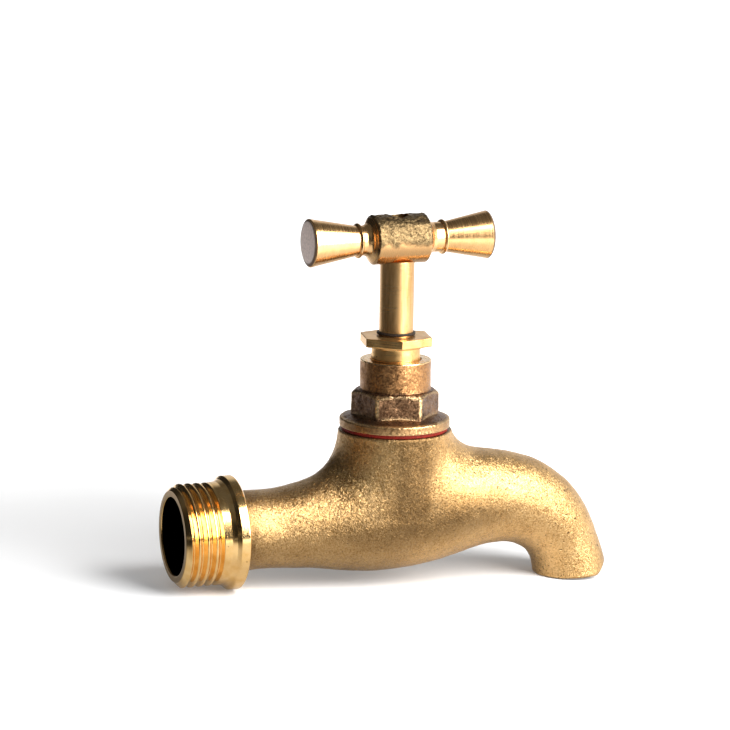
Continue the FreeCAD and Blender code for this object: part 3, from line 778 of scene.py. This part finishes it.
def cutThreadTree():
    tree = bpy.data.node_groups.new("cutThread", "GeometryNodeTree")
    sizes = [(name, "Float") for name in threadInputs]
    for name, kind in [("Geometry", "Geometry")] + sizes + [("Finish", "Material")]:
        tree.interface.new_socket(name, in_out="INPUT", socket_type="NodeSocket" + kind)
    tree.interface.new_socket("Geometry", in_out="OUTPUT", socket_type="NodeSocketGeometry")
    given = addNode("NodeGroupInput", tree=tree).outputs
    crest, end = given["Crest Radius"], given["Thread End"]
    x, y, z = partsOf(addNode("GeometryNodeInputPosition", tree=tree).outputs[0])
    turn = mathNode("DIVIDE", mathNode("ARCTAN2", z, y), 2 * math.pi)
    along = mathNode("DIVIDE", minus(x, given["First Crest"]), given["Pitch"])
    phase = mathNode("FRACT", minus(along, turn))
    rise = mathNode("ABSOLUTE", minus(times(phase, 2), 1))
    thread = mapped(rise, 0.0, 1.0, minus(crest, given["Depth"]), crest)
    thread = between(mapped(minus(end, x), 0.0, given["Run Out"]), crest, thread)
    radius = reachOf(y, z)
    share = mathNode("DIVIDE", mathNode("MINIMUM", radius, thread), radius)
    share = between(mathNode("LESS_THAN", x, end), 1.0, share)      # the collar is left as it is
    spot = addNode("ShaderNodeCombineXYZ", (x, times(y, share), times(z, share))).outputs[0]
    moved = addNode("GeometryNodeSetPosition", {"Geometry": given["Geometry"], "Position": spot})
    real = addNode("GeometryNodeRealizeInstances", (moved.outputs[0],))
    dressed = addNode("GeometryNodeSetMaterial", {"Geometry": real.outputs[0], "Material": given["Finish"]})
    addNode("NodeGroupOutput", (dressed.outputs[0],))
    return tree


def makeInletEnd():
    size = inletEnd
    face, crest, bore = size["faceAt"], size["crestRadius"], size["boreRadius"]
    collar, back, leadIn = size["collarRadius"], size["collarWidth"], size["leadIn"]
    outer = roundedProfile([
        (1.4, bore), (face, bore, 0.25), (face, crest - leadIn, 0.12), (face + leadIn, crest, 0.1),
        (-2.4, crest - 0.12, 0.8), (-0.9, crest - 0.02, 0.5), (0.05, collar - 0.75, 0.25),
        (0.7, collar - 0.05, 0.15), (back - 0.35, collar, 0.3), (back, collar - 0.5, 0.2), (back, 8.6, 0.1),
        (back, 7.5)], size["rowGap"])
    # inside the bore and on the collar's back the rows can be wide apart
    keep = [0]
    for number in range(1, len(outer) - 1):
        here = outer[number]
        fine = here[1] > bore + 0.5 and here[0] < back - 0.1
        (a, b), (c, d) = outer[number + 1] - here, here - outer[number - 1]
        if fine or np.linalg.norm(here - outer[keep[-1]]) > 0.6 or abs(a * d - b * c) > 1e-6:
            keep.append(number)
    outer = outer[keep + [len(outer) - 1]]
    piece = meshObject("inletThread", *turnedMesh(outer, size["around"], "x", (0, 0, 0)))
    rule = piece.modifiers.new("thread", "NODES")
    rule.node_group = cutThreadTree()
    for item in rule.node_group.interface.items_tree:
        if item.in_out == "INPUT" and item.name in threadInputs:
            rule[item.identifier] = size[threadInputs[item.name]] * 0.001
        elif item.name == "Finish":
            rule[item.identifier] = threadBrass
    finishPiece(evaluated(piece), "tap", ["body"])
    print("inlet thread:", len(piece.data.polygons), "faces")


makeInletEnd()


# bonnet: flange, hexagon with forged corners, barrel, bore

bonnet = {
    "base": 13.1, "threadRadius": 9.0, "flangeBase": 19.95, "flangeRadius": 11.3, "flangeRim": 1.7,
    "coneFrom": 10.4, "coneRise": 0.95, "hexAcross": 15.76, "hexHeight": 4.9, "hexTurn": -16.0,
    "hexCorner": 0.75, "hexFoot": 0.3, "chamferSlope": 0.63, "barrelRadius": 7.25, "barrelTop": 33.73,
    "boreRadius": 5.06, "stemHole": 3.55, "throat": (24.0, 29.6), "around": 264,
}


def fromCorner(degrees, turn):
    # how far an angle is from the nearest of a hexagon's corners, of which one points to turn
    return np.abs((degrees - turn + 30) % 60 - 30)


def hexRadius(angle, across, corner, turn):
    # radius of a hexagon with round corners at each angle
    half = across / 2
    off = fromCorner(np.degrees(angle), turn) * math.pi / 180
    flat = half / np.cos(math.pi / 6 - off)
    centre = (half - corner) / math.cos(math.pi / 6)
    touch = math.atan2(corner * 0.5, centre + corner * math.cos(math.pi / 6))
    inside = np.maximum(corner ** 2 - (centre * np.sin(off)) ** 2, 0)
    return np.where(off < touch, centre * np.cos(off) + np.sqrt(inside), flat)


def stackedPiece(name, rows, angles, material, uneven, nodes):
    # rows are (radius, height) pairs, each a number or one value for each angle
    grid = []
    for radius, height in rows:
        radius, height = radius + 0 * angles, height + 0 * angles
        grid.append(np.stack([valveAxis + radius * np.cos(angles), radius * np.sin(angles), height], 1))
    points = uneven(np.concatenate(grid))
    piece = meshObject(name, points, rowFaces(len(rows), len(angles), True), material)
    return finishPiece(piece, "tap", nodes)


def fromAxis(points):
    return np.hypot(points[:, 0] - valveAxis, points[:, 1])


def makeBonnet():
    size = bonnet
    angles = ringAngles(size["around"])
    hexR = hexRadius(angles, size["hexAcross"], size["hexCorner"], size["hexTurn"])
    base, flange, coneFrom = size["flangeBase"], size["flangeRadius"], size["coneFrom"]
    flat, slope = size["hexAcross"] / 2, size["chamferSlope"]
    rim = base + size["flangeRim"]
    hexTop = rim + size["coneRise"] + size["hexHeight"]
    foot, thread, bore = size["base"], size["threadRadius"], size["boreRadius"]
    barrel, top = size["barrelRadius"], size["barrelTop"]

    def cone(radius):
        return rim + (flange - 0.3 - radius) * (size["coneRise"] / (flange - 0.3 - flat))

    def chamfer(radius):
        return hexTop - np.maximum(radius - flat, 0) * slope

    lower = roundedProfile([
        (foot, bore), (foot, thread - 0.4, 0.1), (foot + 0.4, thread, 0.1), (base, thread),
        (base, flange, 0.18), (rim, flange, 0.38), (cone(coneFrom), coneFrom)], 0.9)
    rows = [(r, z) for z, r in lower]
    # the cone runs in to the hexagon's foot, which has a small fillet
    filletR = hexR + size["hexFoot"]
    for share in (0.35, 0.7, 0.9):
        r = coneFrom + (filletR - coneFrom) * share
        rows.append((r, cone(r)))
    for out, up in ((0.3, 0.0), (0.16, 0.03), (0.06, 0.1), (0.01, 0.22), (0.0, 0.34)):
        rows.append((hexR + out, cone(filletR) + up))
    edge, low = chamfer(hexR) - 0.3, cone(filletR) + 0.34
    rows += [(hexR, low + (edge - low) * k / 10) for k in range(1, 11)]
    # round the hexagon's upper edge, and over its chamfer to the barrel
    rows += [(hexR - inward, edge + up) for inward, up in ((0.02, 0.1), (0.09, 0.2), (0.2, 0.27))]
    shelf = np.maximum(hexR - 0.3, 7.6)
    rows.append((shelf, chamfer(np.maximum(hexR - 0.25, 7.6)) - 0.03))
    for share in (0.3, 0.6, 0.85, 1.0):
        r = shelf * (1 - share) + 7.5 * share
        rows.append((r, chamfer(r) - 0.02 * (1 - share)))
    rows += [(7.4, hexTop + 0.02), (7.31, hexTop + 0.08), (7.26, hexTop + 0.18)]
    low, high = size["throat"]
    upper = roundedProfile([
        (hexTop + 0.3, barrel), (top, barrel, 0.16), (top, bore + 0.3, 0.05), (top - 0.3, bore), (high, bore),
        (high, size["stemHole"]), (low, size["stemHole"]), (low, bore), (foot + 0.4, bore)], 0.7)
    rows += [(r, z) for z, r in upper]

    def uneven(points):
        z = points[:, 2]
        forged = smoothed(z, 20.2, 21.0) * smoothed(top - z, 0.3, 1.2) * (fromAxis(points) > 7.0)
        return points + (unevenness(points, 0.09, 2.6) + unevenness(points, 0.04, 0.9)) * forged[:, None]

    piece = stackedPiece("forgedBonnet", rows, angles, forgedBrass, uneven, ["bonnet"])
    places = np.array([tuple(v.co) for v in piece.data.vertices]) * 1000
    reach, height = fromAxis(places), places[:, 2]
    turned = np.degrees(np.arctan2(places[:, 1], places[:, 0] - valveAxis))

    def band(value, middle, width):
        return np.exp(-((value - middle) / width) ** 2)

    # painted highlight, partly wear, at the hexagon's corners, its brow and its foot, and at the flange's
    # edges
    corner = smoothed(3.4 - fromCorner(turned, size["hexTurn"]), 0, 2.4) * (reach > 8.2) \
        * smoothed(height, rim + 1.0, rim + 1.6) * smoothed(hexTop - height, -0.2, 0.5)
    brow = smoothed(reach, 7.7, 8.0) * band(height, chamfer(reach) - 0.22, 0.16)
    fillet = band(height, rim + 1.0, 0.3) * smoothed(8.9 - reach, 0, 0.5) * (reach > 7.6)
    edges = band(height, rim, 0.22) * (reach > 10.6) + band(height, base, 0.2) * (reach > 11)
    writeOnPoints(piece, "wearAndHighlight", np.clip(0.9 * corner + 0.5 * brow + 0.35 * fillet + 0.8 * edges, 0, 1))


makeBonnet()


# gland nut and rings

glandNut = {
    "base": 31.8, "neckRadius": 5.0, "hexBase": 36.71, "hexTop": 38.57, "hexOut": 7.8, "hexTurn": 18.2,
    "hexCorner": 0.14, "bore": 3.55, "around": 300,
}


def makeGlandNut():
    size = glandNut
    angles = ringAngles(size["around"])
    hexR = hexRadius(angles, size["hexOut"] * math.cos(math.pi / 6) * 2, size["hexCorner"], size["hexTurn"])
    base, low, high, neck, bore = (size[name] for name in ("base", "hexBase", "hexTop", "neckRadius", "bore"))
    # up the neck and out under the hexagon
    rows = [(bore, base), (neck, base), (neck, 32.4), (neck, 34.2), (neck - 0.05, 35.4), (neck - 0.12, 36.0),
            (neck - 0.1, 36.22), (neck + 0.05, 36.34), (5.95, 36.38), (6.1, 36.46), (6.1, 36.62), (6.15, low)]
    # round the hexagon, and in over its top to the bore
    rows += [(hexR - 0.5, low + 0.02), (hexR - 0.08, low + 0.06), (hexR, low + 0.14)]
    rows += [(hexR, low + 0.14 + (high - low - 0.24) * k / 6) for k in range(1, 7)]
    rows += [(hexR - 0.03, high - 0.03), (hexR - 0.12, high), (hexR - 0.6, high)]
    rows += [(hexR * (1 - k) + 4.2 * k, high) for k in (0.35, 0.7, 1.0)]
    rows += [(3.8, high), (bore + 0.06, high - 0.05), (bore, high - 0.15), (bore, 34.0)]

    def uneven(points):
        onHex = smoothed(points[:, 2], low - 0.2, low + 0.2) * (fromAxis(points) > 5.5)
        return points + unevenness(points, 0.07, 1.6) * onHex[:, None]

    stackedPiece("glandNut", rows, angles, nutBrass, uneven, ["gland_nut"])


makeGlandNut()

fibreWasher = {"base": 19.2, "thickness": 0.75, "inside": 9.2, "outside": 10.86}
dustRing = {"base": 38.77, "thickness": 0.6, "inside": 3.49, "outside": 4.02, "wobble": 0.09}


def makeFibreWasher():
    low, thick, inside, outside = fibreWasher.values()
    high = low + thick
    line = roundedProfile([(low, inside + 0.6), (low, outside, 0.12), (high, outside, 0.12),
                           (high, inside, 0.1), (low, inside, 0.1), (low, inside + 0.5)], 0.4)
    piece = meshObject("fibreWasher", *turnedMesh(line[:-1], 200), redFibre)
    finishPiece(piece, "tap", ["bonnet_washer"])


def makeDustRing():
    low, thick, inside, outside, wobble = dustRing.values()
    line = roundedProfile([(low, inside), (low + 0.04, outside - 0.12, 0.1), (low + thick / 2, outside, 0.2),
                           (low + thick - 0.04, outside - 0.12, 0.1), (low + thick, inside)], 0.15)
    points, faces = turnedMesh(line, 120)
    piece = meshObject("dustRing", points + unevenness(points, wobble, 2.4), faces, sealRubber)
    finishPiece(piece, "spindle", ["dust_ring"])


makeFibreWasher()
makeDustRing()
print("bonnet, gland nut and rings made")


# spindle and handle

spindle = {
    "base": 8.88, "screw": 5.0, "screwTop": 19.6, "stem": 3.49, "shoulder": 53.92, "tenon": 2.0, "tip": 62.31,
    "socket": 2.3, "socketTop": 16.38,
}


def makeSpindle():
    base, screw, screwTop, stem, shoulder, tenon, tip, socket, socketTop = spindle.values()
    line = roundedProfile([
        (socketTop, 0.02), (socketTop, socket), (base, socket, 0.1), (base, screw - 0.5, 0.1),
        (base + 0.5, screw, 0.1), (screwTop - 0.5, screw, 0.1), (screwTop, screw - 0.5, 0.1),
        (screwTop, stem, 0.1), (shoulder, stem, 0.12), (shoulder, tenon, 0.1), (tip - 0.25, tenon, 0.2),
        (tip, tenon - 0.5, 0.3), (tip - 0.1, 0.02)], 0.5)
    piece = meshObject("turnedSpindle", *turnedMesh(line, 128, poles=True), stemBrass)
    finishPiece(piece, "spindle", ["spindle"])


makeSpindle()

tHandle = {
    "height": 58.29, "hubRadius": 5.02, "hubHalf": 6.1, "neck": 3.05, "beadRadius": 3.62, "beadHalf": 0.42,
    "leftArm": (8.7, 19.05), "rightArm": (9.6, 19.4),      # where the bead stands and the cone ends
    "coneRadius": 4.9, "discRadius": 4.15, "discOut": 0.42, "askew": 0.008, "spotRadius": 3.84,
    "spotDepth": 0.65, "holeRadius": 2.02, "around": 160,
}


def armLine(bead, end):
    size = tHandle
    half, hub, neck, crown = size["beadHalf"], size["hubHalf"], size["neck"], size["beadRadius"]
    return roundedProfile([
        (0.0, size["hubRadius"]), (hub - 0.55, size["hubRadius"], 0.25), (hub + 0.05, 4.15, 0.25),
        (hub + 0.45, 3.4, 0.7), (hub + 1.4, neck, 0.8), (bead - half, neck, 0.06),
        (bead - half * 0.8, crown - 0.25, 0.1), (bead, crown, 0.3), (bead + half * 0.8, crown - 0.25, 0.1),
        (bead + half, neck + 0.02, 0.06), (end - 0.05, size["coneRadius"], 0.12),
        (end + 0.12, size["coneRadius"] - 0.2, 0.1), (end + size["discOut"] - 0.05, size["discRadius"], 0.2),
        (end + size["discOut"] + 0.15, 0.02)], 0.3)


def drillInto(piece, name, radius, low, high, around=96):
    line = np.array([[low, radius], [high, radius]])
    caps = [tuple(range(around - 1, -1, -1)), tuple(range(around, 2 * around))]
    cutter = meshObject(name, turnedPoints(line, around), rowFaces(2, around, False) + caps)
    cut = piece.modifiers.new(name, "BOOLEAN")
    cut.operation = "DIFFERENCE"
    cut.solver = "EXACT"
    cut.object = cutter
    return cutter


def makeHandle():
    size = tHandle
    middle = size["height"]
    left, right = armLine(*size["leftArm"]), armLine(*size["rightArm"])
    line = np.vstack([left[::-1] * [-1, 1], right[1:]])
    points, faces = turnedMesh(line, size["around"], "x", (valveAxis, 0, middle), poles=True)
    off = points[:, 0] - valveAxis
    cast = smoothed(size["hubHalf"] - np.abs(off), 0.0, 0.6) * smoothed(points[:, 2] - middle, -1.5, 1.0)
    points = points + (unevenness(points, 0.16, 1.1) + unevenness(points, 0.1, 0.45)) * cast[:, None]
    points[:, 2] += (points[:, 0] - valveAxis) * size["askew"]
    piece = meshObject("tHandle", points, faces, handleBrass)
    faceOutwards(piece.data)
    # a spotface under the hub, and the hole for the spindle's tenon
    spotTop = middle - size["hubRadius"] + size["spotDepth"]
    cutters = [drillInto(piece, "spotface", size["spotRadius"], middle - 9, spotTop),
               drillInto(piece, "tenonHole", size["holeRadius"], middle - 9, middle + 9)]
    evaluated(piece)
    for cutter in cutters:
        bpy.data.objects.remove(cutter)
    print("handle:", len(piece.data.polygons), "faces")
    finishPiece(piece, "spindle", ["handle"], 38)


makeHandle()

innerFinishes = {
    "packing_ring_lower": graphitePacking, "packing_ring_upper": graphitePacking,
    "packing_washer": innerBrass, "jumper": innerBrass, "tap_washer": valveRubber, "washer_nut": innerBrass,
}
for node, material in innerFinishes.items():
    carried = frame["nodes"][node]
    carried.data.materials.clear()
    carried.data.materials.append(material)
print("all pieces made")


# floor, world, lamp and camera; the distances here are in metres, but for the floor's own points

studio = {
    "floorLow": (70.5, -14.1), "floorHigh": (1.3, -11.54), "floorGap": 0.04, "floorHalf": 3000,
    "floorColour": 0.82, "nearGlow": 0.12, "farGlow": 1.0, "glowMiddle": (0.0, 0, -0.013),
    "glowFrom": (0.065, 0.20), "skyGlow": 1.3, "fill": 0.42, "wallGlow": 1.25, "wallFrom": (-0.72, -0.12),
    "ceilingGlow": 0.12, "ceilingFrom": (0.45, 0.72), "dimGlow": 0.02, "dimAngle": -165.0,
    "dimFrom": (0.02, 0.07), "mirrorFloor": 0.38, "mirrorGlow": 1.15, "backTo": (0.18, 0.32), "farDim": 0.84,
    "frontAngle": -75.0, "frontFrom": (0.012, 0.026), "frontFloor": 0.58, "middle": (0.050, 0, 0.02),
    "keyAngle": -58.0, "keyHeight": 31.0, "keyDistance": 0.40, "keySize": (0.30, 0.42), "keyPower": 4.7,
}


def towards(angle, height=0.0):
    a, e = math.radians(angle), math.radians(height)
    return Vector((math.cos(a) * math.cos(e), math.sin(a) * math.cos(e), math.sin(e)))


def farTowards(coords, angle):
    # how far a place lies in one direction
    return vectorNode("DOT_PRODUCT", (coords, tuple(towards(angle))), "Value")


def makeFloorPaper():
    material = bpy.data.materials.new("floorPaper")
    material.use_nodes = True
    tree = material.node_tree
    tree.nodes.clear()
    path = addNode("ShaderNodeLightPath", tree=tree).outputs
    seen = mathNode("MAXIMUM", path["Is Camera Ray"], path["Is Transmission Ray"])
    glossy = path["Is Glossy Ray"]
    coords = addNode("ShaderNodeTexCoord", tree=tree).outputs["Object"]
    away = vectorNode("DISTANCE", (coords, studio["glowMiddle"]), "Value")
    strength = mapped(away, *studio["glowFrom"], studio["nearGlow"], studio["farGlow"])
    # metal sees white paper, but for a dim stretch to the left of the tap
    dim = times(mapped(farTowards(coords, studio["dimAngle"]), *studio["dimFrom"]),
                mapped(away, *studio["backTo"], 1.0, studio["farDim"]))
    mirrored = times(glossy, times(oneLess(dim), studio["mirrorGlow"]))
    strength = times(strength, mathNode("MAXIMUM", seen, mirrored))
    lit = mapped(farTowards(coords, studio["frontAngle"]), *studio["frontFrom"],
                 studio["mirrorFloor"], studio["frontFloor"])
    shade = between(glossy, studio["floorColour"], between(dim, lit, studio["dimGlow"]))
    grey = addNode("ShaderNodeCombineColor", (shade, shade, shade)).outputs[0]
    paper = addNode("ShaderNodeBsdfDiffuse", {"Color": grey}).outputs[0]
    glow = addNode("ShaderNodeEmission", {"Strength": strength}).outputs[0]
    both = addNode("ShaderNodeAddShader", (paper, glow)).outputs[0]
    # from below the floor is clear, so the underside can be looked at
    clear = addNode("ShaderNodeBsdfTransparent", tree=tree).outputs[0]
    below = addNode("ShaderNodeNewGeometry", tree=tree).outputs["Backfacing"]
    choice = addNode("ShaderNodeMixShader", (below, both, clear)).outputs[0]
    addNode("ShaderNodeOutputMaterial", {"Surface": choice})
    return material


def makeFloor():
    # the tap lies on its collar and its mouth, so the floor leans a little in the part's frame
    (x1, z1), (x2, z2) = studio["floorLow"], studio["floorHigh"]
    lean = (z1 - z2) / (x1 - x2)
    far = studio["floorHalf"]
    points = [(x, y, z1 - studio["floorGap"] + (x - x1) * lean)
              for x, y in ((-far, -far), (far, -far), (far, far), (-far, far))]
    meshObject("floor", points, [(0, 1, 2, 3)], makeFloorPaper())


def makeWorld():
    # white behind the object; metal also sees a dark ceiling and a dim room in front and to the left
    world = bpy.data.worlds.new("room")
    bpy.context.scene.world = world
    world.use_nodes = True
    tree = world.node_tree
    tree.nodes.clear()
    path = addNode("ShaderNodeLightPath", tree=tree).outputs
    coords = addNode("ShaderNodeTexCoord", tree=tree).outputs["Generated"]
    side = mapped(farTowards(coords, studio["dimAngle"]), *studio["wallFrom"], studio["wallGlow"],
                  studio["dimGlow"])
    room = mapped(partsOf(coords)[2], *studio["ceilingFrom"], side, studio["ceilingGlow"])
    level = between(path["Is Glossy Ray"], studio["fill"], room)
    level = between(path["Is Camera Ray"], level, studio["skyGlow"])
    glow = addNode("ShaderNodeBackground", {"Strength": level}).outputs[0]
    addNode("ShaderNodeOutputWorld", {"Surface": glow})


def makeKeyLamp():
    lamp = bpy.data.lights.new("keyBox", "AREA")
    lamp.shape = "RECTANGLE"
    lamp.size, lamp.size_y = studio["keySize"]
    lamp.energy = studio["keyPower"]
    holder = addObject("keyBox", lamp)
    aim = Vector(studio["middle"])
    holder.location = aim + towards(studio["keyAngle"], studio["keyHeight"]) * studio["keyDistance"]
    holder.rotation_euler = (aim - holder.location).to_track_quat("-Z", "Y").to_euler()


# the photograph's viewpoint: angles in degrees, places in metres, and the length of the lens in pixels
viewpoint = {
    "azimuth": -21.27, "elevation": 10.99, "roll": -0.91, "distance": 0.6, "target": (0.03053, 0, 0.0327),
    "lensPixels": 600 / 0.2027, "frame": 730, "sensor": 36,
}


def makeCamera():
    view = viewpoint
    a, e, r = (math.radians(view[k]) for k in ("azimuth", "elevation", "roll"))
    back = Vector((math.sin(a) * math.cos(e), -math.cos(a) * math.cos(e), math.sin(e)))
    right = (-back).cross(Vector((0, 0, 1))).normalized()
    up = right.cross(-back)
    right, up = math.cos(r) * right - math.sin(r) * up, math.sin(r) * right + math.cos(r) * up
    data = bpy.data.cameras.new("camera")
    data.sensor_width = view["sensor"]
    data.lens = view["lensPixels"] * view["sensor"] / view["frame"]
    data.clip_start, data.clip_end = 0.01, 20
    camera = addObject("camera", data)
    columns = (right, up, back, Vector(view["target"]) + back * view["distance"])
    camera.matrix_world = Matrix([[column[i] for column in columns] for i in range(3)] + [[0, 0, 0, 1]])
    bpy.context.scene.camera = camera


makeFloor()
makeWorld()
makeKeyLamp()
makeCamera()
bpy.context.scene.view_settings.view_transform = "Standard"

print("done")
